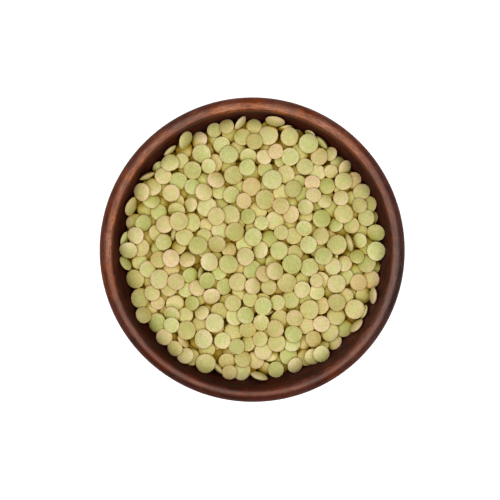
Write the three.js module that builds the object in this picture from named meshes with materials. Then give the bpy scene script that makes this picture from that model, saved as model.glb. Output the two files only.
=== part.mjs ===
// A small thrown clay bowl, filled with dry green lentils.
// Millimetres, +Z up. The origin is the centre of the foot ring's underside, on the table.
import * as THREE from "three";

// Driving dimensions of the bowl.
const HEIGHT = 46; // table to the crest of the lip
const BELLY_RADIUS = 55; // the widest ring, just under the lip
const CREST_RADIUS = 51.35; // the highest ring of the lip
const MOUTH_RADIUS = 49.5; // the inner wall where the lip's rounding ends
const LIP_DROP_OUTSIDE = 6; // from the crest down to the widest ring
const LIP_DROP_INSIDE = 3; // from the crest down to where the inner wall begins
const LIP_FULLNESS = 2.6; // 2 gives quarter ellipses, and more a flatter crest and steeper sides
const FLOOR_THICKNESS = 5.5; // clay between the bowl's floor and the foot's recess
const OUTER_REACH = 43; // how deep the outer wall's curve would run with no foot
const FOOT_RADIUS = 27.5;
const FOOT_WIDTH = 4.5;
const FOOT_EDGE = 0.8; // rounding of the foot ring's two lower edges
const RECESS_DEPTH = 2.5; // hollow inside the foot ring
const OUTER_CURVE = 1.6; // 1 gives an ellipse's wall, and more leans it inwards sooner
const INNER_CURVE = 1.08;

// Driving dimensions of the lentils.
const LENTIL_DIAMETER = 6.4;
const LENTIL_THICKNESS = 2.5;
const HEAP_EDGE = 36; // height of the heap's surface where it meets the wall
const HEAP_CROWN = 38.9; // height of the heap's surface on the axis, without the lentils' relief
const LENTIL_SPACING = 5; // between the lentils that lie on the heap
const LENTIL_STRAY = 1; // how far each lies from its even place
const LENTIL_LIFT = 0.8; // how far each lies above or below the heap's surface
const LENTIL_LEAN = 0.25; // steepest slope of a lentil, along each axis
const WALL_GAP = 0.3; // between the heap and the bowl

// How finely the round shapes are divided.
const BOWL_SEGMENTS = 56;
const LIP_STEPS = 7; // on each side of the crest
const WALL_STEPS = 10;
const HEAP_RINGS = 20;

const QUARTER_TURN = Math.PI / 2;
const GOLDEN_ANGLE = Math.PI * (3 - Math.sqrt(5));
const FLOOR_HEIGHT = RECESS_DEPTH + FLOOR_THICKNESS;
const MOUTH_HEIGHT = HEIGHT - LIP_DROP_INSIDE;
const BELLY_HEIGHT = HEIGHT - LIP_DROP_OUTSIDE;

// Points of a quarter ellipse and its like, for angles from one share of a quarter turn to another.
function sweep(steps, from, to, pointAt) {
  return Array.from({ length: steps + 1 }, (_, i) =>
    pointAt(QUARTER_TURN * THREE.MathUtils.lerp(from, to, i / steps)),
  );
}

// A wall that starts upright at the given radius and height, and closes on the axis at the given
// depth: the radius falls as a cosine, and the depth grows as a power of the sine.
function wallPoint(radius, top, depth, curve, angle) {
  return new THREE.Vector2(
    radius * Math.cos(angle),
    top - depth * Math.sin(angle) ** curve,
  );
}

function innerWall(angle) {
  const depth = MOUTH_HEIGHT - FLOOR_HEIGHT;
  return wallPoint(MOUTH_RADIUS, MOUTH_HEIGHT, depth, INNER_CURVE, angle);
}

function outerWall(angle) {
  return wallPoint(BELLY_RADIUS, BELLY_HEIGHT, OUTER_REACH, OUTER_CURVE, angle);
}

// The angle at which the inner wall passes a height.
function innerWallAngleAt(height) {
  const share = (MOUTH_HEIGHT - height) / (MOUTH_HEIGHT - FLOOR_HEIGHT);
  return Math.asin(share ** (1 / INNER_CURVE));
}

// One side of the lip, a quarter of a full ellipse from its end on the wall up to the crest.
function lipPoint(wallRadius, drop, angle) {
  const power = 2 / LIP_FULLNESS;
  return new THREE.Vector2(
    CREST_RADIUS + (wallRadius - CREST_RADIUS) * Math.cos(angle) ** power,
    HEIGHT - drop + drop * Math.sin(angle) ** power,
  );
}

// The foot ring's underside, from the recess's centre out to the outer wall.
function footProfile() {
  const inside = FOOT_RADIUS - FOOT_WIDTH;
  return [
    new THREE.Vector2(0, RECESS_DEPTH),
    new THREE.Vector2(inside - RECESS_DEPTH, RECESS_DEPTH),
    new THREE.Vector2(inside - FOOT_EDGE / 2, RECESS_DEPTH / 2),
    new THREE.Vector2(inside + FOOT_EDGE, 0),
    new THREE.Vector2(FOOT_RADIUS - 2 * FOOT_EDGE, 0),
    new THREE.Vector2(FOOT_RADIUS - FOOT_EDGE, FOOT_EDGE),
  ];
}

// The bowl's half section: foot, outer wall, lip, inner wall and floor, from axis to axis.
function bowlProfile() {
  const footJoint = Math.acos(FOOT_RADIUS / BELLY_RADIUS) / QUARTER_TURN;
  const outer = sweep(WALL_STEPS, footJoint, 0, outerWall);
  const lipOutside = sweep(LIP_STEPS, 0, 1, (a) => lipPoint(BELLY_RADIUS, LIP_DROP_OUTSIDE, a));
  const lipInside = sweep(LIP_STEPS, 1, 0, (a) => lipPoint(MOUTH_RADIUS, LIP_DROP_INSIDE, a));
  const inner = sweep(WALL_STEPS, 0, 1, innerWall);
  inner[WALL_STEPS].x = 0;
  return [
    ...footProfile(),
    ...outer,
    ...lipOutside.slice(1),
    ...lipInside.slice(1),
    ...inner.slice(1),
  ];
}

function bowlGeometry() {
  const geometry = new THREE.LatheGeometry(bowlProfile(), BOWL_SEGMENTS);
  geometry.rotateX(QUARTER_TURN); // the lathe's own axis is Y
  return geometry;
}

// A repeatable number from -1 to 1 for each whole number and each use.
function scatter(index, use) {
  const wave = Math.sin(index * 12.9898 + use * 78.233) * 43758.5453;
  return 2 * (wave - Math.floor(wave)) - 1;
}

// The heap's smooth surface: a low dome that falls away faster near the wall.
function domeHeight(radius, edgeRadius) {
  const share = Math.min(radius / edgeRadius, 1);
  return HEAP_EDGE + (HEAP_CROWN - HEAP_EDGE) * (1 - share ** 2.5);
}

// The lentils that lie on the heap, set out as seeds in a sunflower, each leaning its own way.
function surfaceLentils(edgeRadius) {
  const reach = edgeRadius - LENTIL_DIAMETER / 3;
  const count = Math.floor((reach / LENTIL_SPACING) ** 2 * Math.PI);
  return Array.from({ length: count }, (_, i) => {
    const radius = reach * Math.sqrt((i + 0.5) / count);
    const turn = i * GOLDEN_ANGLE;
    return {
      x: radius * Math.cos(turn) + LENTIL_STRAY * scatter(i, 1),
      y: radius * Math.sin(turn) + LENTIL_STRAY * scatter(i, 2),
      z: domeHeight(radius, edgeRadius) - LENTIL_THICKNESS / 2 + LENTIL_LIFT * scatter(i, 3),
      radius: LENTIL_DIAMETER / 2,
      leanX: LENTIL_LEAN * scatter(i, 4),
      leanY: LENTIL_LEAN * scatter(i, 5),
    };
  });
}

// How high a lentil's upper face stands at a point, or minus infinity outside it: a shallow cap.
function lentilTop(lentil, x, y) {
  const dx = x - lentil.x;
  const dy = y - lentil.y;
  const share = (dx * dx + dy * dy) / lentil.radius ** 2;
  if (share > 1) return -Infinity;
  const cap = (LENTIL_THICKNESS / 2) * (1 - share);
  return lentil.z + cap + lentil.leanX * dx + lentil.leanY * dy;
}

// A disc of rings with 6, 12, 18, ... points, as [ring, place in ring] for each point, and the
// triangles between the rings, with their upper side up.
function ringDisc(rings) {
  const places = [[0, 0]];
  const triangles = [];
  const first = (ring) => (ring === 0 ? 0 : 1 + 3 * ring * (ring - 1));
  const at = (ring, place) => first(ring) + (ring === 0 ? 0 : place % (6 * ring));
  for (let ring = 1; ring <= rings; ring++) {
    for (let place = 0; place < 6 * ring; place++) places.push([ring, place]);
    for (let side = 0; side < 6; side++) {
      for (let step = 0; step < ring; step++) {
        const outer = side * ring + step;
        const inner = side * (ring - 1) + step;
        triangles.push([at(ring - 1, inner), at(ring, outer), at(ring, outer + 1)]);
        if (step < ring - 1)
          triangles.push([at(ring - 1, inner), at(ring, outer + 1), at(ring - 1, inner + 1)]);
      }
    }
  }
  return { places, triangles };
}

// The heap as one solid: its bumpy top, and below it the bowl's inner wall less a small gap.
function heapGeometry() {
  const edgeAngle = innerWallAngleAt(HEAP_EDGE);
  const edgeRadius = innerWall(edgeAngle).x - WALL_GAP;
  const lentils = surfaceLentils(edgeRadius);
  const { places, triangles } = ringDisc(HEAP_RINGS);
  const turnOf = ([ring, place]) => (ring === 0 ? 0 : (2 * Math.PI * place) / (6 * ring));

  const topPoint = (spot) => {
    const radius = (edgeRadius * spot[0]) / HEAP_RINGS;
    const x = radius * Math.cos(turnOf(spot));
    const y = radius * Math.sin(turnOf(spot));
    const bare = domeHeight(radius, edgeRadius) - LENTIL_THICKNESS / 2;
    if (spot[0] === HEAP_RINGS) return [x, y, HEAP_EDGE];
    return [x, y, lentils.reduce((z, lentil) => Math.max(z, lentilTop(lentil, x, y)), bare)];
  };
  const bottomPoint = (spot) => {
    const share = spot[0] / HEAP_RINGS;
    const wall = innerWall(THREE.MathUtils.lerp(QUARTER_TURN, edgeAngle, share));
    const radius = Math.max(wall.x - WALL_GAP, 0);
    const height = share === 1 ? HEAP_EDGE : wall.y + WALL_GAP;
    return [radius * Math.cos(turnOf(spot)), radius * Math.sin(turnOf(spot)), height];
  };

  const below = places.length;
  const positions = [...places.map(topPoint), ...places.map(bottomPoint)].flat();
  const faces = [
    ...triangles,
    ...triangles.map(([a, b, c]) => [a + below, c + below, b + below]),
  ].flat();
  return new THREE.BufferGeometry()
    .setAttribute("position", new THREE.Float32BufferAttribute(positions, 3))
    .setIndex(faces);
}

function piece(name, geometry, colour, roughness) {
  const material = new THREE.MeshStandardMaterial({ color: colour, roughness, metalness: 0 });
  const mesh = new THREE.Mesh(geometry, material);
  mesh.name = name;
  return mesh;
}

const bowlOfLentils = new THREE.Group();
bowlOfLentils.add(
  piece("bowl", bowlGeometry(), 0x6b3625, 0.4),
  piece("lentils", heapGeometry(), 0xc9c083, 0.7),
);

export default bowlOfLentils;
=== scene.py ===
# %% [markdown]
# # A bowl of dry lentils
#
# The object is a small thrown clay bowl, 110 mm wide, filled nearly to its lip with dry green
# lentils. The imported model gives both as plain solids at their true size. Here the bowl gets its
# fine surface and its burnished finish, and the heap is taken apart into loose lentils, each of
# which lies where it would come to rest.
#
# Everything is in metres, with Z up and the bowl's foot on the floor at Z = 0.

import bpy
import numpy as np
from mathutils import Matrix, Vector


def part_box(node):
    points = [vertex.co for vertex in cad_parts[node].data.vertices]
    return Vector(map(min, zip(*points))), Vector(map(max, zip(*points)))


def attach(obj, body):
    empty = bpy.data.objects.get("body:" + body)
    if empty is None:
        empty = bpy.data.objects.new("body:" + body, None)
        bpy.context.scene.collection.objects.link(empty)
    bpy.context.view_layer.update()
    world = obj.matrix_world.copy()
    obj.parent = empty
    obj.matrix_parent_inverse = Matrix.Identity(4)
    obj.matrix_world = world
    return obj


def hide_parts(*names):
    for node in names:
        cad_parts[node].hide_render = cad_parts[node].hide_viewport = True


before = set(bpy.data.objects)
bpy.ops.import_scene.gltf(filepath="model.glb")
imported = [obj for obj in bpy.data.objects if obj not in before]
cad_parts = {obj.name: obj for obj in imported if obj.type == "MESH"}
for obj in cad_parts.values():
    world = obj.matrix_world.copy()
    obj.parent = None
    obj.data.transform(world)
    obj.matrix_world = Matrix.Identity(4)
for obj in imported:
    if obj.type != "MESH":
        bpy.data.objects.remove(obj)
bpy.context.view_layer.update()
_, bowl_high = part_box("bowl")
MM = 0.001
print("nodes:", sorted(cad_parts), "bowl's box in mm:", [round(x / MM, 1) for x in bowl_high])

# %% [markdown]
# ## The camera
#
# The bowl is seen from straight above, so its outline is a circle. The lens is a long one, as a
# product picture has, and its focal length follows from how wide the bowl is to appear: a length
# x at a distance d is x / d * focal length / sensor width of the picture's width.

# %% Make the camera
PICTURE_PIXELS = 500
BOWL_RADIUS_PIXELS = 152.1
BOWL_CENTRE_PIXELS = (252.3, 249.85)
CAMERA_HEIGHT = 750 * MM
CAMERA_CLIP = (10 * MM, 10)
SENSOR_WIDTH = 36
belly_radius = float(bowl_high[0])
BELLY_HEIGHT = 40 * MM


def make_camera():
    """Point a camera straight down, with the picture's top towards +Y."""
    data = bpy.data.cameras.new("camera")
    data.sensor_width = SENSOR_WIDTH
    distance = CAMERA_HEIGHT - BELLY_HEIGHT
    data.lens = BOWL_RADIUS_PIXELS / PICTURE_PIXELS * SENSOR_WIDTH * distance / belly_radius
    data.clip_start, data.clip_end = CAMERA_CLIP
    camera = bpy.data.objects.new("camera", data)
    pixel = belly_radius / BOWL_RADIUS_PIXELS
    camera.location = (
        (PICTURE_PIXELS / 2 - BOWL_CENTRE_PIXELS[0]) * pixel,
        (BOWL_CENTRE_PIXELS[1] - PICTURE_PIXELS / 2) * pixel,
        CAMERA_HEIGHT,
    )
    bpy.context.scene.collection.objects.link(camera)
    bpy.context.scene.camera = camera
    return camera


print("lens in mm:", round(make_camera().data.lens, 1))

# %% [markdown]
# ## From arrays to pieces
#
# Each piece is worked out as an array of points and an array of faces, and one helper turns the
# two into a mesh. The faces of a lathe shape are the cells of a grid of rings, closed round the
# axis, with a point on the axis at each end.


# %% Turn arrays into a piece
def make_piece(name, points, faces):
    """A smooth-shaded mesh object from an (n, 3) array of points and a list of face arrays."""
    mesh = bpy.data.meshes.new(name)
    corners = np.concatenate([block.ravel() for block in faces])
    sizes = np.concatenate([np.full(len(block), block.shape[1]) for block in faces])
    mesh.vertices.add(len(points))
    mesh.vertices.foreach_set("co", points.astype(np.float32).ravel())
    mesh.loops.add(len(corners))
    mesh.loops.foreach_set("vertex_index", corners.astype(np.int32))
    mesh.polygons.add(len(sizes))
    mesh.polygons.foreach_set("loop_start", (np.cumsum(sizes) - sizes).astype(np.int32))
    mesh.update(calc_edges=True)
    mesh.validate()
    mesh.shade_smooth()
    piece = bpy.data.objects.new(name, mesh)
    bpy.context.scene.collection.objects.link(piece)
    return piece


def ring_faces(rings, sides):
    """Faces of rings * sides points, ring after ring, between a first and a last single point.

    Point 0 is the first pole, ring r starts at 1 + r * sides, and the last point is the other pole.
    """
    side = np.arange(sides)
    after = (side + 1) % sides
    start = 1 + np.arange(rings - 1)[:, None] * sides
    quads = np.stack([start + side, start + after, start + sides + after, start + sides + side], -1)
    last = 1 + (rings - 1) * sides
    first_fan = np.stack([np.zeros(sides, int), 1 + after, 1 + side], -1)
    last_fan = np.stack([np.full(sides, last + sides), last + side, last + after], -1)
    return [quads.reshape(-1, 4), first_fan, last_fan]


def add_number(piece, name, values):
    """Keep one number for each point of a piece, for its material to read."""
    piece.data.attributes.new(name, "FLOAT", "POINT").data.foreach_set(
        "value", np.asarray(values, np.float32).ravel()
    )


# %% [markdown]
# ## The bowl's section
#
# A thrown bowl is a surface of revolution, so its half section says all about its form: a turned
# foot ring with a recess under it, a wall that curves out to the belly, a thick rounded lip and
# the inner wall down to the floor. Each stretch is a quarter of an ellipse or its like, so the
# section needs only the sizes that a potter would measure.

# %% Sizes of the bowl
height = float(bowl_high[2])
CREST_RADIUS = 51.35 * MM
LIP_FULLNESS = 2.6
MOUTH_RADIUS = 49.5 * MM
LIP_DROP_INSIDE = 3 * MM
FLOOR_THICKNESS = 5.5 * MM
OUTER_REACH = 43 * MM
FOOT_RADIUS = 27.5 * MM
FOOT_WIDTH = 4.5 * MM
RECESS_DEPTH = 2.5 * MM
OUTER_CURVE = 1.6
INNER_CURVE = 1.08
FOOT_EDGE = 0.8 * MM
FOOT_BEVEL = 0.6 * MM
FOOT_BLEND = 3
AXIS_HOLE = 0.1 * MM
OUTER_STEPS, LIP_STEPS, INNER_STEPS = 44, 25, 40
mouth_height = height - LIP_DROP_INSIDE
floor_height = RECESS_DEPTH + FLOOR_THICKNESS
QUARTER = np.pi / 2
print("depth inside in mm:", round((height - floor_height) / MM, 1))


# %% Draw the half section
def wall(radius, top, depth, curve, angle):
    """Points (r, z) of a wall: r falls as a cosine and z as a power of the sine."""
    return np.stack([radius * np.cos(angle), top - depth * np.sin(angle) ** curve], -1)


def lip(wall_radius, drop, angle):
    """Points (r, z) of one side of the lip: (cosine, sine) to a power, a full quarter ellipse."""
    power = 2 / LIP_FULLNESS
    across = CREST_RADIUS + (wall_radius - CREST_RADIUS) * np.clip(np.cos(angle), 0, 1) ** power
    return np.stack([across, height - drop + drop * np.sin(angle) ** power], -1)


def rounded(corners, radius, steps=4):
    """Round each inner corner of a path with a quadratic curve that starts radius before it."""
    parts = [corners[:1]]
    for before, corner, after in zip(corners, corners[1:], corners[2:]):
        start = corner + (before - corner) * radius / np.linalg.norm(before - corner)
        end = corner + (after - corner) * radius / np.linalg.norm(after - corner)
        t = np.linspace(0, 1, steps + 1)[:, None]
        parts.append((1 - t) ** 2 * start + 2 * t * (1 - t) * corner + t**2 * end)
    return np.concatenate([*parts, corners[-1:]])


def bowl_section():
    """The half section from the recess's centre round the outside to the floor's centre.

    The foot's rounding takes up the first points of the outer wall.
    """
    foot_joint = np.arccos(FOOT_RADIUS / belly_radius)
    outer_angles = np.linspace(foot_joint, 0, OUTER_STEPS)
    outer = wall(belly_radius, BELLY_HEIGHT, OUTER_REACH, OUTER_CURVE, outer_angles)
    inside = FOOT_RADIUS - FOOT_WIDTH
    foot = np.array(
        [
            [AXIS_HOLE, RECESS_DEPTH],
            [inside - RECESS_DEPTH, RECESS_DEPTH],
            [inside, 0],
            [FOOT_RADIUS - FOOT_BEVEL, 0],
            outer[0],
            outer[FOOT_BLEND],
        ]
    )
    over = lip(belly_radius, height - BELLY_HEIGHT, np.linspace(0, QUARTER, LIP_STEPS))
    under = lip(MOUTH_RADIUS, LIP_DROP_INSIDE, np.linspace(QUARTER, 0, LIP_STEPS))
    inner_angles = np.linspace(0, QUARTER, INNER_STEPS)
    depth = mouth_height - floor_height
    inner = wall(MOUTH_RADIUS, mouth_height, depth, INNER_CURVE, inner_angles)
    outside = [rounded(foot, FOOT_EDGE), outer[FOOT_BLEND + 1 :], over[1:]]
    return np.concatenate([*outside, under[1:], inner[1:-1]])


section = bowl_section()
print("points in the half section:", len(section))

# %% [markdown]
# ## What the hands left
#
# The section is carried round the axis on a grid of section points by sides. A hand-thrown bowl
# is never quite round or level, so the radius gets a slow two- and three-lobed wave and the
# height another. The fingers leave shallow rings as the clay rises, so the wall also gets a fine
# wave along the section, which fades out at the foot, because that is turned with a tool.

# %% Waves of the throwing
BOWL_SIDES = 288
turns = np.linspace(0, 2 * np.pi, BOWL_SIDES, endpoint=False)
FINGER_RELIEF = 0.045 * MM
FINGER_RINGS = ((0.62 * MM, 0), (0.97 * MM, 1), (1.9 * MM, 2))
FINGER_FADE = (6 * MM, 12 * MM)
OUT_OF_ROUND = ((0.07 * MM, 2, 0.6), (0.09 * MM, 3, 2.1))
OUT_OF_LEVEL = ((0.12 * MM, 2, -1.1), (0.06 * MM, 5, 0))
LEVEL_DROP = 0.18 * MM


def thrown_rings(along):
    """How far the fingers' rings stand out: three sines along the section with unlike lengths."""
    return FINGER_RELIEF * sum(np.sin(along / length + start) for length, start in FINGER_RINGS)


def lobes(turn, waves):
    """A sum of cosines round the axis, each with its size, its number of lobes and its start."""
    return sum(size * np.cos(count * turn + start) for size, count, start in waves)


def along_section(path):
    """Distance from the path's first point to each point, measured on the path."""
    return np.concatenate([[0], np.cumsum(np.linalg.norm(np.diff(path, axis=0), axis=1))])


print("out of round by mm:", round(np.ptp(lobes(turns, OUT_OF_ROUND)) / MM, 2))

# %% [markdown]
# ## What the stone and the fire left
#
# The potter rubs the lip with a smooth stone, and the stone reaches only its upper curve, so the
# polished band has a middle radius and a width, and is wider on one side of the bowl. The band is
# glossier, and its lighter colour is a painted highlight along the crest. In the kiln the flames
# lighten the clay in tongues and smoke greys one side. Down the inner wall the clay is painted
# darker, as painted shade towards the lentils, and one side of the inner wall is painted paler, as
# painted light. Each of these is one number, kept on the points of the bowl, which the clay's
# finish reads. Numbers on the points follow the form exactly, where noise in space would cut across
# it.

# %% Marks on the clay
BAND_MIDDLE = (51.65 * MM, -0.28 * MM)
BAND_HALF_WIDTH = (1.18 * MM, 0.52 * MM)
BAND_TURN = np.radians(90)
FIRED_TURN = np.radians(105)
FLAMES_TO_WALL_SHADE = (48.5 * MM, 50 * MM)
FLAMES = 0.6
FLAMES_COUNT = 3
FLAMES_TURN = np.radians(67)
SMOKED_TURN = np.radians(-12)
SMOKED_FALL = 6
# The pale patch is painted light on one side of the inner wall.
PALE_TURN = np.radians(-30)
PALE_FALL = 3


def burnished_band(turn):
    """The band on the lip that the stone reached: its middle radius and half its width.

    Each is a mean and a cosine of the turn, so the band is wider on one side of the bowl.
    """
    sway = np.cos(turn - BAND_TURN)
    middle, half_width = (mean + wave * sway for mean, wave in (BAND_MIDDLE, BAND_HALF_WIDTH))
    return middle, half_width


def clay_marks(turn):
    """The marks of stone, flames and smoke, and painted light and shade, each as an array of
    section points by turns.

    The band's number falls off on both sides of the band's middle as exp(-x^2); its lift of the
    clay's colour is a painted highlight. The flames' number is, near the lip, a cosine of the turn
    plus a smaller one with more waves, and -1 down the inner wall, which is painted shade. Smoked
    and pale are powers of a cosine of the turn, the one outside and the other inside the crest; the
    pale one is painted light.
    """
    radius, z = section[:, :1], section[:, 1:]
    middle, half_width = burnished_band(turn)
    rubbed_and_highlight = np.exp(-(((radius - middle) / half_width) ** 2))
    rubbed_and_highlight *= np.clip((z - mouth_height) / LIP_DROP_INSIDE, 0, 1)
    # Below the lip the flames' number turns to -1, which is painted shade down the inner wall.
    near_lip = np.clip((radius - FLAMES_TO_WALL_SHADE[0]) / (FLAMES_TO_WALL_SHADE[1] - FLAMES_TO_WALL_SHADE[0]), 0, 1)
    flames = np.cos(turn - FIRED_TURN) + FLAMES * np.cos(FLAMES_COUNT * (turn - FLAMES_TURN))
    inside = np.clip((CREST_RADIUS - radius) / MM, 0, 1)
    inside[: np.argmax(z)] = 0
    return {
        "rubbed_and_highlight": rubbed_and_highlight,
        "fired_and_wall_shade": near_lip * flames - (1 - near_lip) * inside,
        "smoked": (1 - inside) * np.clip(np.cos(turn - SMOKED_TURN), 0, 1) ** SMOKED_FALL,
        "pale": inside * np.clip(np.cos(turn - PALE_TURN), 0, 1) ** PALE_FALL,
    }


marks = clay_marks(turns)
print("marks and their means:", {name: round(float(m.mean()), 3) for name, m in marks.items()})

# %% [markdown]
# ## Throwing the bowl
#
# The section moves outwards by the fingers' rings, then each of its points is carried round the
# axis with the waves added. The waves grow with the height, because a bowl leans and sags least at
# its foot, and so the foot stays flat on the floor.


# %% Throw the bowl
def throw_bowl():
    """The bowl's piece, with the distance along the section and the marks kept on its points."""
    along = along_section(section)
    tangent = np.gradient(section, axis=0)
    outward = np.stack([tangent[:, 1], -tangent[:, 0]], -1)
    outward /= np.linalg.norm(outward, axis=1, keepdims=True)
    fingered = np.clip((section[:, 1] - FINGER_FADE[0]) / (FINGER_FADE[1] - FINGER_FADE[0]), 0, 1)
    path = section + outward * (thrown_rings(along) * fingered)[:, None]
    share = (path[:, 1] / height)[:, None]
    radius = path[:, :1] + lobes(turns, OUT_OF_ROUND) * share
    z = path[:, 1:] + (lobes(turns, OUT_OF_LEVEL) - LEVEL_DROP) * share**3
    grid = np.stack([radius * np.cos(turns), radius * np.sin(turns), z], -1)
    poles = np.array([[[0, 0, RECESS_DEPTH]], [[0, 0, floor_height]]])
    points = np.concatenate([poles[0], grid.reshape(-1, 3), poles[1]])
    piece = make_piece("thrown_bowl", points, ring_faces(len(path), BOWL_SIDES))
    ends = [[along[0]], np.repeat(along, BOWL_SIDES), [along[-1]]]
    add_number(piece, "along", np.concatenate(ends))
    for name, values in marks.items():
        add_number(piece, name, np.concatenate([[0], values.ravel(), [0]]))
    return piece, along


bowl, bowl_along = throw_bowl()
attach(bowl, "root")
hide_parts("bowl")
print("bowl:", len(bowl.data.polygons), "faces, section", round(bowl_along[-1] / MM), "mm long")

# %% [markdown]
# ## Materials as small trees of nodes
#
# A finish is written as a short tree of nodes. One helper adds a node, sets its own settings and
# fills its sockets, either with a number or with another node's output. The others name what the
# nodes do, so that a finish reads as a few sums, products, ranges and noises.


# %% Start a material
def start_finish(name):
    """A new material: its tree, and its shader to be filled in."""
    material = bpy.data.materials.new(name)
    material.use_nodes = True
    tree = material.node_tree
    return material, tree, tree.nodes["Principled BSDF"]


def add(tree, kind, sockets=None, **settings):
    """Add a node of a kind, with its settings, and set or link each socket that is named."""
    node = tree.nodes.new("ShaderNode" + kind)
    for name, value in settings.items():
        setattr(node, name, value)
    for name, value in (sockets or {}).items():
        if isinstance(value, bpy.types.NodeSocket):
            tree.links.new(value, node.inputs[name])
        else:
            node.inputs[name].default_value = value
    return node


def number(tree, name):
    """The output of a number that a piece keeps on its points."""
    return add(tree, "Attribute", attribute_name=name).outputs["Fac"]


def maths(tree, operation, first, second):
    """One sum, product or the like of two numbers."""
    return add(tree, "Math", {0: first, 1: second}, operation=operation).outputs[0]


def total(tree, *parts):
    """The sum of numbers, each given as (number, how much of it)."""
    shares = [maths(tree, "MULTIPLY", value, share) for value, share in parts]
    whole = shares[0]
    for share in shares[1:]:
        whole = maths(tree, "ADD", whole, share)
    return whole


def product(tree, *values):
    """The product of numbers."""
    whole = values[0]
    for value in values[1:]:
        whole = maths(tree, "MULTIPLY", whole, value)
    return whole


def span(tree, value, low, high, to_low=0.0, to_high=1.0):
    """A number carried from one range to another, and held inside it."""
    sockets = {"Value": value, 1: low, 2: high, 3: to_low, 4: to_high}
    return add(tree, "MapRange", sockets).outputs["Result"]


def noise(tree, place, scale, detail=3.0, roughness=0.5):
    """Soft noise of a size, from 0 to 1."""
    sockets = {"Vector": place, "Scale": scale, "Detail": detail, "Roughness": roughness}
    return add(tree, "TexNoise", sockets).outputs["Fac"]


def own_noise(tree, place, own, scale, detail, roughness):
    """Noise that is another for each value of a number, so that neighbours share no cloud."""
    sockets = {"Vector": place, "W": own, "Scale": scale, "Detail": detail, "Roughness": roughness}
    return add(tree, "TexNoise", sockets, noise_dimensions="4D").outputs["Fac"]


def blend_colours(tree, share, first, second, mode="MIX"):
    """Two colours mixed by a share."""
    node = add(tree, "Mix", data_type="RGBA", blend_type=mode)
    for index, value in ((0, share), (6, first), (7, second)):
        if isinstance(value, bpy.types.NodeSocket):
            tree.links.new(value, node.inputs[index])
        else:
            node.inputs[index].default_value = value
    return node.outputs[2]


def ramp(tree, value, stops):
    """A colour that follows a number through stops of (place, red, green, blue)."""
    node = add(tree, "ValToRGB", {"Fac": value})
    elements = node.color_ramp.elements
    while len(elements) < len(stops):
        elements.new(0.5)
    for element, (place, *colour) in zip(elements, stops):
        element.position = place
        element.color = (*colour, 1)
    return node.outputs["Color"]


# %% [markdown]
# ## Burnished clay
#
# The clay is a dark red brown. The stone and the turning leave fine streaks round the bowl. They
# come from noise that is drawn out: it changes fast along the section and slowly round the axis.
# Patches and grit are plain noise in space. All of them are added up to one number, the tone, to
# which the band's painted highlight, the flames, the smoke, the painted shade down the inner wall
# and the painted light of the pale patch add their share, and a ramp of colours turns the tone into
# clay.
# How rich the red is and its hue change a little as well, because fired clay is never one colour
# made lighter and darker.

# %% Mix the clay
CLAY_COLOURS = [
    (0.0, 0.03, 0.0092, 0.0062),
    (0.35, 0.072, 0.0215, 0.0145),
    (0.7, 0.155, 0.042, 0.0165),
    (1.0, 0.33, 0.112, 0.04),
]
STREAK_SCALES = (2600, 17.0)
BROAD_SCALES = (620, 7.0)
PATCH_SCALE, CAST_SCALE, GRIT_SCALE = 62, 140, 1000
RELIEF_HEIGHT = 0.12 * MM


def turning_place(tree, along_scale, around_scale):
    """A place that runs fast along the section and slowly round the axis.

    The direction from the axis stands in for the angle, so that no seam shows where it closes.
    """
    at = add(tree, "TexCoord").outputs["Object"]
    flat = add(tree, "VectorMath", {0: at, 1: (1, 1, 0)}, operation="MULTIPLY").outputs[0]
    ahead = add(tree, "VectorMath", {0: flat}, operation="NORMALIZE").outputs[0]
    parts = add(tree, "SeparateXYZ", {0: ahead}).outputs
    place = {
        0: maths(tree, "MULTIPLY", parts[0], around_scale),
        1: maths(tree, "MULTIPLY", parts[1], around_scale),
        2: maths(tree, "MULTIPLY", number(tree, "along"), along_scale),
    }
    return add(tree, "CombineXYZ", place).outputs[0]


def clay_colour(tree, streak, patch, grit):
    """The clay's colour from its streaks, patches and grit and from the marks on the bowl, with a
    painted highlight on the crest, painted shade down the inner wall and painted light on one side
    of it.
    """
    rubbed_and_highlight, fired_and_wall_shade, smoked, pale = (number(tree, name) for name in marks)
    broad = noise(tree, turning_place(tree, *BROAD_SCALES), 1.0, 3, 0.6)
    tone = total(tree, (streak, 0.6), (broad, 0.4), (patch, 0.42), (grit, 0.24))
    tone = span(tree, tone, 0.645, 1.035, 0.0, 0.75)
    # The band's number lifts the tone as a painted highlight, the flames' number darkens the inner
    # wall as painted shade, and the pale number lightens one side of it as painted light.
    tone = total(tree, (tone, 1), (rubbed_and_highlight, 0.3), (fired_and_wall_shade, 0.13), (smoked, -0.12), (pale, 0.26))
    cast = noise(tree, add(tree, "TexCoord").outputs["Object"], CAST_SCALE, 5, 0.65)
    rich = product(
        tree,
        span(tree, cast, 0.3, 0.7, 1.08, 0.86),
        span(tree, smoked, 0, 1, 1, 0.8),
        span(tree, fired_and_wall_shade, -1, 0.4, 1.14, 1.05),
        span(tree, pale, 0, 1, 1, 0.8),
    )
    hue = span(tree, grit, 0.3, 0.7, 0.505, 0.496)
    plain = ramp(tree, tone, CLAY_COLOURS)
    shifted = add(tree, "HueSaturation", {"Hue": hue, "Saturation": rich, "Color": plain})
    return shifted.outputs["Color"]


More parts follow.
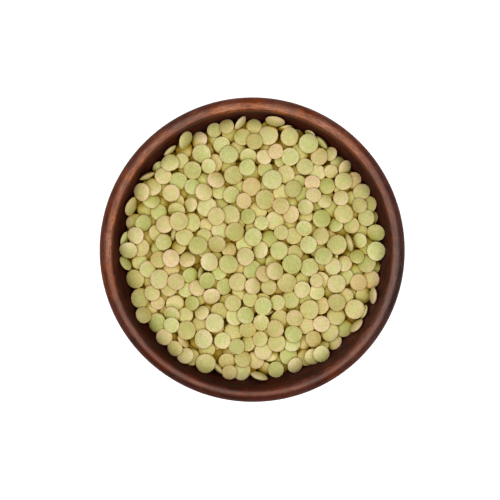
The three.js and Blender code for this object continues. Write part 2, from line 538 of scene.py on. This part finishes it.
def clay(name, specular_level, roughest):
    """Dark red-brown clay, streaked round the bowl, smoother where the stone reached, and lighter
    there by a painted highlight.
    """
    material, tree, shader = start_finish(name)
    at = add(tree, "TexCoord").outputs["Object"]
    streak = noise(tree, turning_place(tree, *STREAK_SCALES), 1.0, 4, 0.65)
    patch = noise(tree, at, PATCH_SCALE, 5, 0.62)
    grit = noise(tree, at, GRIT_SCALE, 3, 0.6)
    tree.links.new(clay_colour(tree, streak, patch, grit), shader.inputs["Base Color"])
    uneven = total(tree, (streak, 0.5), (patch, 0.5))
    rough = span(tree, uneven, 0.3, 0.7, roughest - 0.14, roughest)
    rough = total(tree, (rough, 1), (number(tree, "rubbed_and_highlight"), -0.15))
    tree.links.new(rough, shader.inputs["Roughness"])
    relief = total(tree, (streak, 1), (grit, 0.35))
    bump = add(tree, "Bump", {"Strength": 0.5, "Distance": RELIEF_HEIGHT, "Height": relief})
    tree.links.new(bump.outputs[0], shader.inputs["Normal"])
    shader.inputs["IOR"].default_value = 1.5
    shader.inputs["Specular IOR Level"].default_value = specular_level
    shader.inputs["Specular Tint"].default_value = (1.0, 0.91, 0.81, 1)
    return material


print("the clay reads:", sorted(marks))

# %% [markdown]
# ## From burnished to bare
#
# The gloss ends where the stone's reach ends, but not at a sharp line. How much a surface mirrors
# at all is one fixed number of a finish, so the clay is mixed four times, from burnished to bare,
# and each face of the bowl takes the finish that fits its distance from the band.

# %% Finish the bowl
CLAY_FINISHES = [
    ("burnished_clay", 0.5, 0.42),
    ("rubbed_clay", 0.4, 0.55),
    ("dull_clay", 0.28, 0.7),
    ("bare_clay", 0.15, 0.85),
]
FINISH_LIMITS = np.array([-0.25, 0.05, 0.4]) * MM


def finish_faces():
    """Give each face of the bowl its finish by how far it lies outside the band."""
    for finish in CLAY_FINISHES:
        bowl.data.materials.append(clay(*finish))
    face_middle = (section[:-1] + section[1:]) / 2
    turn = 2 * np.pi * (np.arange(BOWL_SIDES) + 0.5) / BOWL_SIDES
    middle, half_width = burnished_band(turn)
    away = np.abs(face_middle[:, :1] - middle) - half_width
    away[face_middle[:, 1] < mouth_height] = np.inf
    finish = np.full(len(bowl.data.polygons), len(FINISH_LIMITS), np.int32)
    finish[: away.size] = (away[..., None] > FINISH_LIMITS).sum(-1).ravel()
    bowl.data.polygons.foreach_set("material_index", finish)
    return np.bincount(finish)


print("faces with each finish:", finish_faces())

# %% [markdown]
# ## Letting the lentils come to rest
#
# A physics engine could drop the lentils, but a height map does it faster and always alike. The
# map holds the height of whatever is already there, at first the bowl's wall and the core. A
# lentil is lens-shaped: it is what two large balls have in common, so the heights of its lower and
# upper faces have a formula. Laid over the map at some place and tilt, it can sink until its lower
# face first touches. A loose lentil ends where its centre lies lowest, so each one tries small
# moves and tilts and keeps those that let it sink. Then its upper face is added to the map, and
# the next one falls. First the middle fills up to a low dome. Then the ring along the wall fills,
# where lentils slide outwards and some come to stand on edge against the wall. Last, more lentils
# close the deepest pits, as they do when a full bowl is tapped.

# %% Sizes of the lentils and the heap
_, heap_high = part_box("lentils")
LENTIL_RADIUS = 3.22 * MM
LENTIL_RADIUS_SPREAD = 0.27 * MM
LENTIL_RADIUS_LIMITS = (2.6 * MM, 3.7 * MM)
THICKNESS_SHARE = (0.36, 0.43)
HEAP_EDGE = 34.4 * MM
HEAP_CROWN = 37.2 * MM
HEAP_SLANT = 0.6 * MM
DOME_POWER = 2.5
CORE_DEPTH = 8 * MM
WALL_GAP = 0.1 * MM
heap_radius = float(heap_high[0])
rng = np.random.default_rng(7)


def wall_height(radius):
    """Height of the inner wall at a distance from the axis: the wall's formula turned round."""
    angle = np.arccos(np.clip((radius + WALL_GAP) / MOUTH_RADIUS, 0, 1))
    inside = mouth_height - (mouth_height - floor_height) * np.sin(angle) ** INNER_CURVE
    return np.where(radius + WALL_GAP > MOUTH_RADIUS, 2 * height, inside)


def dome_height(x, y):
    """Height of the heap's surface: a low dome that falls faster near the wall, and a slant.

    The dome is edge + (crown - edge) * (1 - share^power), with the share of the way to the edge.
    """
    share = np.clip(np.hypot(x, y) / heap_radius, 0, 1)
    dome = HEAP_EDGE + (HEAP_CROWN - HEAP_EDGE) * (1 - share**DOME_POWER)
    return dome + HEAP_SLANT * y / heap_radius


print("heap's radius in mm:", round(heap_radius / MM, 1))

# %% The height map
CELL = 0.35 * MM
PATCH = 25
MAP_REACH = 52 * MM
cells = int(2 * MAP_REACH / CELL) + 1
cell_at = (np.arange(cells) - cells // 2) * CELL
map_x, map_y = np.meshgrid(cell_at, cell_at, indexing="ij")
patch_offset = np.arange(PATCH) - PATCH // 2
heap_map = np.maximum(
    wall_height(np.hypot(map_x, map_y)), dome_height(map_x, map_y) - CORE_DEPTH
)


def cell_of(place):
    """The number of the map's cell nearest to a place on one axis, half a patch from the edge."""
    half = PATCH // 2
    return np.clip(np.rint(place / CELL).astype(int) + cells // 2, half, cells - half - 1)


def lay_over(x, y, normal, radius, half):
    """Where lentils at these places and tilts first touch the map.

    A lentil is the part that two balls share. Their radius is (radius^2 + half^2) / (2 half), and
    their centres lie on the normal, one on each side. An upright line meets a ball at the ball's
    centre height plus and minus sqrt(ball^2 - distance^2). The lentil's lower face is the higher
    of the two lower heights, and its upper face the lower of the two upper heights.
    Returns the centre's height, the patch's cells, and the upper face above the centre.
    """
    rows = cell_of(x)[:, None, None] + patch_offset[:, None]
    columns = cell_of(y)[:, None, None] + patch_offset
    dx = cell_at[rows] - x[:, None, None]
    dy = cell_at[columns] - y[:, None, None]
    ball = (radius**2 + half**2) / (2 * half)
    low, high = -np.inf, np.inf
    for side in (half - ball, ball - half):
        over_x, over_y, over_z = (side * normal).T[:, :, None, None]
        reach = ball**2 - (dx - over_x) ** 2 - (dy - over_y) ** 2
        root = np.sqrt(np.maximum(reach, 0))
        low = np.maximum(low, np.where(reach > 0, over_z - root, np.inf))
        high = np.minimum(high, np.where(reach > 0, over_z + root, -np.inf))
    inside = low < high
    centre = np.where(inside, heap_map[rows, columns] - low, -np.inf).max(axis=(1, 2))
    return centre, rows, columns, np.where(inside, high, -np.inf)


print("the map has", cells, "by", cells, "cells")

# %% Choose a lentil, a site and a posture
SITES = 120
LYING_LEAN = 0.22
LYING_ROOM = np.radians(14)
LEANING_ROOM = np.radians(30)
EDGE_TILTS = np.radians([50, 80])
EDGE_ROOM = np.radians(14)
EDGE_SWAY = 0.4


def pick_lentil():
    """One lentil's radius and half thickness."""
    radius = np.clip(rng.normal(LENTIL_RADIUS, LENTIL_RADIUS_SPREAD), *LENTIL_RADIUS_LIMITS)
    return radius, radius * rng.uniform(*THICKNESS_SHARE)


def lowest_site(inner, outer, radius, half):
    """Of a few random places in a ring, the one where a level lentil lies deepest in the heap."""
    reach = np.sqrt(rng.uniform(inner**2, outer**2, SITES))
    turn = 2 * np.pi * rng.random(SITES)
    x = reach * np.cos(turn)
    y = reach * np.sin(turn)
    level = np.tile([0.0, 0.0, 1.0], (SITES, 1))
    best = np.argmin(lay_over(x, y, level, radius, half)[0] - dome_height(x, y))
    return x[best], y[best]


def lying(x, y):
    """A normal to start from and how far it may turn, for a lentil that lies nearly flat."""
    lean = rng.normal(0, LYING_LEAN, 2)
    return np.array([*lean, 1.0]) / np.sqrt(1 + lean @ lean), LYING_ROOM


def on_edge(x, y):
    """The same for a lentil on edge, which by the wall leans against it."""
    tilt = rng.uniform(*EDGE_TILTS)
    turn = np.arctan2(-y, -x) + rng.normal(0, EDGE_SWAY)
    normal = [np.sin(tilt) * np.cos(turn), np.sin(tilt) * np.sin(turn), np.cos(tilt)]
    return np.array(normal), EDGE_ROOM


def leaning(x, y):
    """The same for a lentil that starts level and may lean far over."""
    return np.array([0.0, 0.0, 1.0]), LEANING_ROOM


print("postures:", [posture.__name__ for posture in (lying, on_edge, leaning)])

# %% Let one lentil settle
ROUNDS = 7
TRIES = 26
SHRINK = 0.64
REACH = 1.4 * MM
WALL_RING = (3.5 * MM, 0.3 * MM)
wall_ring = (heap_radius - WALL_RING[0], heap_radius - WALL_RING[1])


def settle(x, y, posture, pull, radius, half):
    """Move and tilt one lentil in ever smaller steps to where its centre lies lowest.

    A pull makes a step outwards worth that share of a step down, so that it slides to the wall.
    """
    start, room = posture(x, y)
    best = (np.inf, 0, x, y, start)
    reach, lean = REACH, room / 2
    for _ in range(ROUNDS):
        _, _, x, y, normal = best
        try_x = x + rng.normal(0, reach, TRIES)
        try_y = y + rng.normal(0, reach, TRIES)
        tries = normal + rng.normal(0, lean, (TRIES, 3))
        try_x[0], try_y[0], tries[0] = x, y, normal
        tries /= np.linalg.norm(tries, axis=1, keepdims=True)
        tries *= np.where(tries[:, 2:] < 0, -1, 1)
        centre = lay_over(try_x, try_y, tries, radius, half)[0]
        cost = centre - pull * np.hypot(try_x, try_y)
        cost[np.arccos(np.clip(tries @ start, -1, 1)) > room] = np.inf
        cost[np.hypot(try_x, try_y) > wall_ring[1]] = np.inf
        k = np.argmin(cost)
        if cost[k] < best[0]:
            best = (cost[k], centre[k], try_x[k], try_y[k], tries[k])
        reach *= SHRINK
        lean *= SHRINK
    return best[1:]


def lay_down(x, y, posture, pull, radius, half):
    """Settle a lentil from a place and add its upper face to the map: its row of numbers."""
    z, x, y, normal = settle(x, y, posture, pull, radius, half)
    one = np.array([x]), np.array([y]), normal[None]
    _, rows, columns, high = lay_over(*one, radius, half)
    heap_map[rows[0], columns[0]] = np.maximum(heap_map[rows[0], columns[0]], z + high[0])
    return [x, y, z, *normal, radius, half]


print("ring along the wall in mm:", [round(radius / MM, 1) for radius in wall_ring])

# %% Fill the bowl
MOST_LENTILS = 1000
PITS_CLOSED = 120
PIT_CELLS = 9
EDGE_SHARE = 0.015
WALL_EDGE_SHARE = 0.7
WALL_PULL = 0.6
WALL_FILL = 0.5 * MM
dome_map = dome_height(map_x, map_y)
open_map = wall_height(np.hypot(map_x, map_y)) < dome_map


def drop_one(ring, posture, pull):
    """Lay one lentil in a ring of the heap: a row of x, y, z, normal, radius and half thickness."""
    radius, half = pick_lentil()
    return lay_down(*lowest_site(*ring, radius, half), posture, pull, radius, half)


def deepest_pit():
    """The middle of the window of the map that lies deepest under the dome, by running sums."""
    depth = np.where(open_map, dome_map - heap_map, 0)
    sums = np.pad(depth, ((1, 0), (1, 0))).cumsum(0).cumsum(1)
    w = PIT_CELLS
    whole = sums[w:, w:] - sums[:-w, w:] - sums[w:, :-w] + sums[:-w, :-w]
    row, column = np.unravel_index(np.argmax(whole), whole.shape)
    return cell_at[row + w // 2], cell_at[column + w // 2]


def close_pit():
    """Lay a lentil over the deepest pit, free to lean into it."""
    radius, half = pick_lentil()
    return lay_down(*deepest_pit(), leaning, 0, radius, half)


def fill_bowl():
    """Drop lentils all over until the heap has its dome's height, and more along the wall."""
    laid = []
    ring = open_map & (np.hypot(map_x, map_y) > wall_ring[0])
    inner = np.hypot(map_x, map_y) < wall_ring[0]
    while len(laid) < MOST_LENTILS and np.median((heap_map - dome_map)[inner]) < 0:
        posture = on_edge if rng.random() < EDGE_SHARE else lying
        laid.append(drop_one((0, wall_ring[0]), posture, 0))
    while len(laid) < MOST_LENTILS and np.mean((heap_map - dome_map)[ring]) < WALL_FILL:
        posture = on_edge if rng.random() < WALL_EDGE_SHARE else lying
        laid.append(drop_one(wall_ring, posture, WALL_PULL))
    laid += [close_pit() for _ in range(PITS_CLOSED)]
    return np.array(laid)


lentils = fill_bowl()
print("lentils laid:", len(lentils), "highest in mm:", round(lentils[:, 2].max() / MM, 1))

# %% [markdown]
# ## A lentil's form
#
# Two shallow domes meet in a narrow rim. The surface is a grid of rings by sides, from the middle
# of one face over the rim to the middle of the other. Few rings are enough, because the shading is
# smooth and there are hundreds of lentils. No two are alike: each outline is a little oval,
# three-cornered or square, and each disc is bent a little, like a saddle. All are computed at
# once, as one array of lentils by points. The map is only as fine as its cells, so a lentil by the
# wall may still cut into it by a hair, and is eased off it before all are joined into one piece.

# %% Shape all the lentils
SIDES = 14
RING_SHARES = np.array([0.7, 0.955, 1, 0.955, 0.7])
RING_SIGNS = np.array([1, 1, 0, -1, -1])
MOST_UNEVEN = np.array([0.04, 0.025, 0.015])
MOST_BENT = 0.12
LENS_POWER = 2.3
LENTIL_GAP = 0.05 * MM
ANY_DIRECTION = np.array([0.36, 0.48, 0.8])


def outlines(turn, count):
    """How far each outline reaches at each angle: 1 plus waves of two, three and four lobes."""
    waves = np.arange(2, 2 + len(MOST_UNEVEN))[:, None]
    phase = 2 * np.pi * rng.random((count, len(waves), 1))
    size = MOST_UNEVEN[:, None] * rng.random((count, len(waves), 1))
    return 1 + (size * np.cos(waves * turn + phase)).sum(1)


def shape_lentils(laid):
    """Points of all lentils as (lentils, points, 3), and each point's share of the radius.

    A face rises over the rim's plane by half the thickness times 1 - share^power. The bend adds
    its own share of that, which is a cosine with two waves round the rim and grows as share^2.
    """
    count = len(laid)
    turn = np.linspace(0, 2 * np.pi, SIDES, endpoint=False)
    normal = laid[:, 3:6]
    radius, half = laid[:, 6:7, None], laid[:, 7:8, None]
    aside = np.cross(normal, ANY_DIRECTION)
    aside /= np.linalg.norm(aside, axis=1, keepdims=True)
    across = np.cross(normal, aside)
    ahead = np.cos(turn)[:, None] * aside[:, None] + np.sin(turn)[:, None] * across[:, None]
    reach = RING_SHARES[:, None] * radius * outlines(turn, count)[:, None]
    dome = (RING_SIGNS * (1 - RING_SHARES**LENS_POWER))[:, None]
    bend = rng.uniform(-MOST_BENT, MOST_BENT, (count, 1, 1)) * RING_SHARES[:, None] ** 2
    lift = half * (dome + bend * np.cos(2 * turn))
    rings = reach[..., None] * ahead[:, None] + lift[..., None] * normal[:, None, None]
    pole = (laid[:, 7:8] * normal)[:, None]
    points = np.concatenate([pole, rings.reshape(count, -1, 3), -pole], axis=1)
    from_middle = np.concatenate([[0], np.repeat(RING_SHARES, SIDES), [0]])
    return points + laid[:, None, :3], from_middle


def clear_the_wall(points, laid):
    """Ease each lentil straight towards the axis until none of its points lies in the wall.

    The wall's radius at a height is the section's formula turned round.
    """
    depth = mouth_height - floor_height
    share = np.clip((mouth_height - points[..., 2]) / depth, 0, 1)
    wall_radius = MOUTH_RADIUS * np.cos(np.arcsin(share ** (1 / INNER_CURVE)))
    past = np.hypot(points[..., 0], points[..., 1]) + LENTIL_GAP - wall_radius
    inwards = -laid[:, :2] / np.linalg.norm(laid[:, :2], axis=1, keepdims=True)
    move = np.clip(past.max(1), 0, None)
    print("eased off the wall:", (move > 0).sum(), "by at most", round(move.max() / MM, 2), "mm")
    points[..., :2] += (move[:, None] * inwards)[:, None]
    return points


print("faces of one lentil:", SIDES * (len(RING_SHARES) + 1))

# %% Join the lentils
SUNK_REACH = 2.2 * MM
SUNK_PROBES = 8
TINTS = (0.42, 0.22)


def how_sunk(points):
    """How deep each point lies between its neighbours, from 0 in the open to 1 in a narrow gap.

    The heap's height is read at places round the point, and the mean of how far they stand above
    it is divided by their distance from it. The wall counts only up to the dome's height.
    """
    surface = np.where(open_map, heap_map, dome_map)
    turn = np.linspace(0, 2 * np.pi, SUNK_PROBES, endpoint=False)
    x = points[..., :1] + SUNK_REACH * np.cos(turn)
    y = points[..., 1:2] + SUNK_REACH * np.sin(turn)
    above = surface[cell_of(x), cell_of(y)] - points[..., 2:]
    return np.clip(np.clip(above, 0, None).mean(-1) / SUNK_REACH, 0, 1)


def join_lentils(laid):
    """One piece of all lentils, with the numbers that the seed coats need kept on its points."""
    points, from_middle = shape_lentils(laid)
    points = clear_the_wall(points, laid)
    count, size = points.shape[:2]
    first = (np.arange(count) * size)[:, None, None]
    faces = [
        (block[None, :, ::-1] + first).reshape(-1, block.shape[1])
        for block in ring_faces(len(RING_SHARES), SIDES)
    ]
    piece = make_piece("loose_lentils", points.reshape(-1, 3), faces)
    add_number(piece, "from_middle", np.tile(from_middle, count))
    add_number(piece, "sunk", how_sunk(points))
    add_number(piece, "tint", np.repeat(np.clip(rng.normal(*TINTS, count), 0, 1), size))
    for name in ("shade", "blue"):
        add_number(piece, name, np.repeat(rng.random(count), size))
    return piece


loose = join_lentils(lentils)
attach(loose, "root")
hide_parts("lentils")
print("lentils:", len(loose.data.polygons), "faces")

# %% [markdown]
# ## Seed coats
#
# A green lentil's coat runs from pale green to straw and a pinkish tan, each lentil with its own
# tint, greener in the middle and browner towards the rim. A pale ring next to the rim is a painted
# highlight, which also keeps the face from darkening towards its rim, and the thin dark line on the
# rim itself is painted shade where lentils overlap. The coat is matt and finely mottled. Light that
# reaches the gaps has passed from coat to coat and grows yellower each time, so the deeper a point
# is sunk between its neighbours the less blue it keeps, and it is painted darker and browner there
# as painted shade. The mottling is noise that starts elsewhere on each lentil, so that no cloud
# runs on from one to the next.

# %% Finish the lentils
COAT_COLOURS = [
    (0.0, 0.425, 0.43, 0.16),
    (0.5, 0.482, 0.418, 0.174),
    (1.0, 0.52, 0.39, 0.187),
]
RIM_SHADE_COLOUR = (0.23, 0.145, 0.008, 1)
GAP_SHADE_COLOUR = (0.3, 0.185, 0.006, 1)
CLOUD_SCALE, FLECK_SCALE = 420, 2400
CLOUD_REACH = 40


def coat_colour(tree, cloud, fleck):
    """A lentil's colour: the ramp at its tint, times its brightness, with painted shade on the rim
    and in the gaps.
    """
    middle = number(tree, "from_middle")
    shade = number(tree, "shade")
    sunk = number(tree, "sunk")
    ring = maths(tree, "ADD", middle, span(tree, cloud, 0.3, 0.7, -0.25, 0.25))
    tint = maths(tree, "ADD", number(tree, "tint"), span(tree, cloud, 0.3, 0.7, -0.2, 0.2))
    tint = maths(tree, "ADD", tint, span(tree, ring, 0.1, 0.95, -0.22, 0.22))
    # The ring's lift of the brightness towards the rim is a painted highlight.
    bright = product(
        tree,
        span(tree, shade, 0, 1, 0.84, 1.12),
        span(tree, fleck, 0.35, 0.65, 0.86, 1.115),
        span(tree, ring, 0.5, 0.9, 0.99, 1.15),
    )
    own_blue = span(tree, number(tree, "blue"), 0, 1, 0.95, 1.05)
    # Less blue where a point is sunk paints the yellowing of light passed from coat to coat.
    blue = product(tree, bright, own_blue, bright, span(tree, sunk, 0.05, 0.5, 1.045, 0.8))
    grey = add(tree, "CombineXYZ", {0: bright, 1: bright, 2: blue}).outputs[0]
    colour = blend_colours(tree, 1.0, ramp(tree, tint, COAT_COLOURS), grey, "MULTIPLY")
    # The dark line on each rim is painted shade where lentils overlap.
    colour = blend_colours(tree, span(tree, middle, 0.95, 1.0, 0, 0.5), colour, RIM_SHADE_COLOUR)
    # Deep in the gaps the coat turns a dark brown, which is painted shade.
    return blend_colours(tree, span(tree, sunk, 0.36, 0.94), colour, GAP_SHADE_COLOUR)


def seed_coat():
    """The matt, mottled coat of all lentils, which reads each one's own numbers."""
    material, tree, shader = start_finish("seed_coat")
    at = add(tree, "TexCoord").outputs["Object"]
    own = maths(tree, "MULTIPLY", number(tree, "shade"), CLOUD_REACH)
    cloud = own_noise(tree, at, own, CLOUD_SCALE, 3, 0.55)
    fleck = own_noise(tree, at, own, FLECK_SCALE, 3, 0.6)
    tree.links.new(coat_colour(tree, cloud, fleck), shader.inputs["Base Color"])
    tree.links.new(span(tree, fleck, 0.3, 0.7, 0.5, 0.64), shader.inputs["Roughness"])
    relief = total(tree, (fleck, 1), (cloud, 0.8))
    bump = add(tree, "Bump", {"Strength": 0.35, "Distance": RELIEF_HEIGHT, "Height": relief})
    tree.links.new(bump.outputs[0], shader.inputs["Normal"])
    shader.inputs["IOR"].default_value = 1.45
    shader.inputs["Specular IOR Level"].default_value = 0.3
    return material


loose.data.materials.append(seed_coat())
print("finished:", loose.data.materials[0].name)

# %% [markdown]
# ## The core under the lentils
#
# Below the lentils that can be seen lies only more of the same, so one closed body fills the
# bowl there. Its top is the dome lowered by the depth of the loose layer, with a relief as coarse
# as lentils, and it wears the same coat, fully in the painted shade of the gaps.

# %% Make the core
CORE_RINGS = 40
CORE_SIDES = 160
CORE_GAP = 0.5 * MM
CORE_THINNEST = 0.3 * MM
BUMP_HEIGHT = 0.3 * MM
BUMP_WIDTHS = (0.9 * MM, 0.8 * MM)
# A sunk of 1 gives the core the full painted shade of the gaps.
CORE_NUMBERS = {"from_middle": 0.8, "tint": 0.7, "shade": 0.2, "blue": 0.3, "sunk": 1}


def make_core():
    """A closed body: down the inside of the bowl's wall to its floor, and a bumpy top over it.

    The bumps are a product of two sines, one along X and one along Y.
    """
    turn = np.linspace(0, 2 * np.pi, CORE_SIDES, endpoint=False)
    fine = np.linspace(0, MOUTH_RADIUS, 2000)
    top_edge = dome_height(fine, 0) - CORE_DEPTH - HEAP_SLANT
    edge = fine[np.argmin(np.abs(wall_height(fine) - top_edge))] - CORE_GAP
    radius = np.linspace(edge, edge / CORE_RINGS, CORE_RINGS)[:, None]
    x, y = radius * np.cos(turn), radius * np.sin(turn)
    bumps = np.sin(x / BUMP_WIDTHS[0]) * np.sin(y / BUMP_WIDTHS[1]) * BUMP_HEIGHT
    top = dome_height(x, y) - CORE_DEPTH - CORE_GAP + bumps
    low_radius = radius[::-1]
    bottom = wall_height(low_radius) + CORE_THINNEST + 0 * turn
    bottom = np.minimum(bottom, top[::-1] - CORE_THINNEST)
    lower = np.stack([low_radius * np.cos(turn), low_radius * np.sin(turn), bottom], -1)
    upper = np.stack([x, y, top], -1)
    floor_pole, top_pole = [[0, 0, bottom[0].mean()]], [[0, 0, top[-1].mean()]]
    points = np.concatenate([floor_pole, lower.reshape(-1, 3), upper.reshape(-1, 3), top_pole])
    return make_piece("core", points, ring_faces(2 * CORE_RINGS, CORE_SIDES))


core = make_core()
for name, value in CORE_NUMBERS.items():
    add_number(core, name, np.full(len(core.data.vertices), value))
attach(core, "root")
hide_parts("lentils")
core.data.materials.append(loose.data.materials[0])
print("core:", len(core.data.polygons), "faces")

# %% [markdown]
# ## Floor and light
#
# The bowl stands on a plain pale floor, under one large soft light nearly straight above. Its wide
# reflection makes the soft band along the lip's crest. The surroundings light dimly, so the lip's
# outer slope and the gaps between the lentils turn dark, and they are seen paler than they light,
# so that they don't stand out against the floor. The floor glows a little, as a sheet that is lit
# from below does, and stays nearly white round the bowl.

# %% Set the stage
FLOOR_SIZE = 6
FLOOR_TONES = (0.9, 0.93)
FLOOR_GLOW = 0.3
LIGHT_PLACE = (0, -0.08, 1.1)
LIGHT_AIM = (0, 0, 0.04)
LIGHT_SIZE = 2.1
LIGHT_WATTS = 26
SURROUND_LIGHT = 0.17
SURROUND_SEEN = 0.47


def pale_floor():
    """A matt, nearly white floor with the faintest unevenness."""
    material, tree, shader = start_finish("pale_floor")
    at = add(tree, "TexCoord").outputs["Object"]
    tone = span(tree, noise(tree, at, 9, 3), 0.3, 0.7, *FLOOR_TONES)
    grey = add(tree, "CombineXYZ", {0: tone, 1: tone, 2: tone}).outputs[0]
    tree.links.new(grey, shader.inputs["Base Color"])
    shader.inputs["Roughness"].default_value = 0.9
    shader.inputs["Emission Color"].default_value = (1, 1, 1, 1)
    shader.inputs["Emission Strength"].default_value = FLOOR_GLOW
    return material


def make_floor():
    """A square plane at Z = 0."""
    reach = FLOOR_SIZE / 2
    corners = np.array([[-1, -1, 0], [1, -1, 0], [1, 1, 0], [-1, 1, 0]]) * reach
    floor = make_piece("floor", corners, [np.array([[0, 1, 2, 3]])])
    floor.data.materials.append(pale_floor())
    return floor


def soft_light(name, place, aim, size, watts):
    """A square area light that faces a point."""
    data = bpy.data.lights.new(name, "AREA")
    data.shape = "SQUARE"
    data.size = size
    data.energy = watts
    light = bpy.data.objects.new(name, data)
    light.location = place
    light.rotation_euler = (Vector(aim) - Vector(place)).to_track_quat("-Z", "Y").to_euler()
    bpy.context.scene.collection.objects.link(light)
    return light


def set_world(strength, seen):
    """An even, neutral surround that lights dimly and is seen as pale as the floor far away."""
    world = bpy.data.worlds.new("surround")
    world.use_nodes = True
    tree = world.node_tree
    background = tree.nodes["Background"]
    background.inputs["Color"].default_value = (1, 1, 1, 1)
    straight = add(tree, "LightPath").outputs["Is Camera Ray"]
    tree.links.new(span(tree, straight, 0, 1, strength, seen), background.inputs["Strength"])
    bpy.context.scene.world = world


make_floor()
set_world(SURROUND_LIGHT, SURROUND_SEEN)
soft_light("overhead", LIGHT_PLACE, LIGHT_AIM, LIGHT_SIZE, LIGHT_WATTS)
bpy.context.scene.view_settings.view_transform = "Standard"
bpy.context.scene.view_settings.look = "Medium High Contrast"
